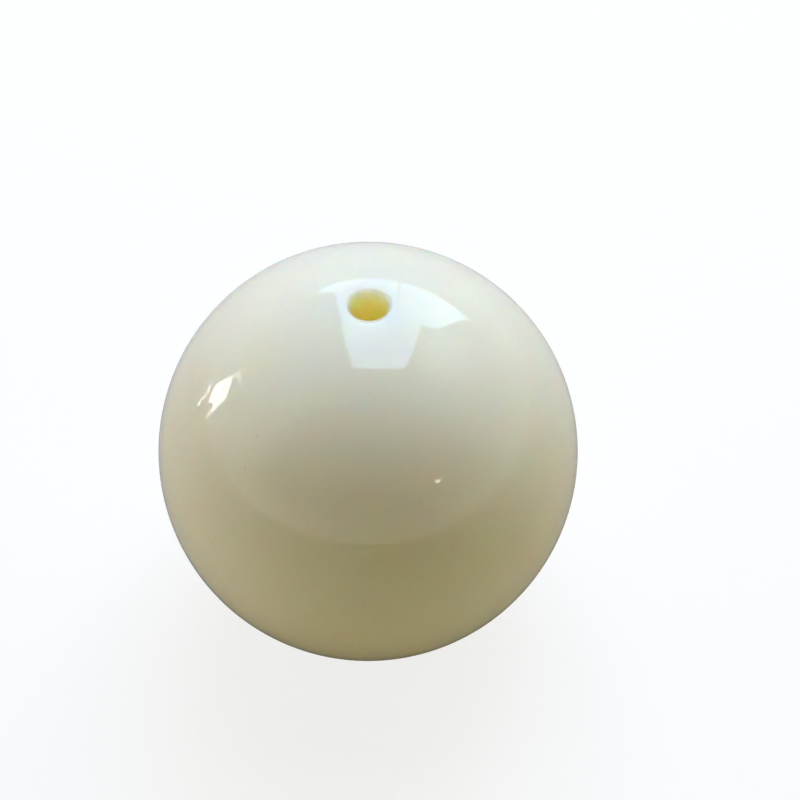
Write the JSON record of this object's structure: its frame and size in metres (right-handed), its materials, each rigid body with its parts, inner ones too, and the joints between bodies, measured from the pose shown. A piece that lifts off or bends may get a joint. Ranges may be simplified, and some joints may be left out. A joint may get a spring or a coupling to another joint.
{
  "type": "cue ball",
  "caption": "Polished ivory-white cue ball, one solid resin casting, with one blind hole drilled towards its centre and softly rounded at the mouth.",
  "frame": {"origin": "centre of the ball", "axes": "+Z along the hole, out of its mouth; the ball is round about Z, so X and Y are free"},
  "size_m": [0.0572, 0.0572, 0.057],
  "materials": {
    "ivory_resin": "high gloss, polished, slightly translucent"
  },
  "bodies": {
    "root": {"ball": "ivory_resin"}
  },
  "joints": []
}
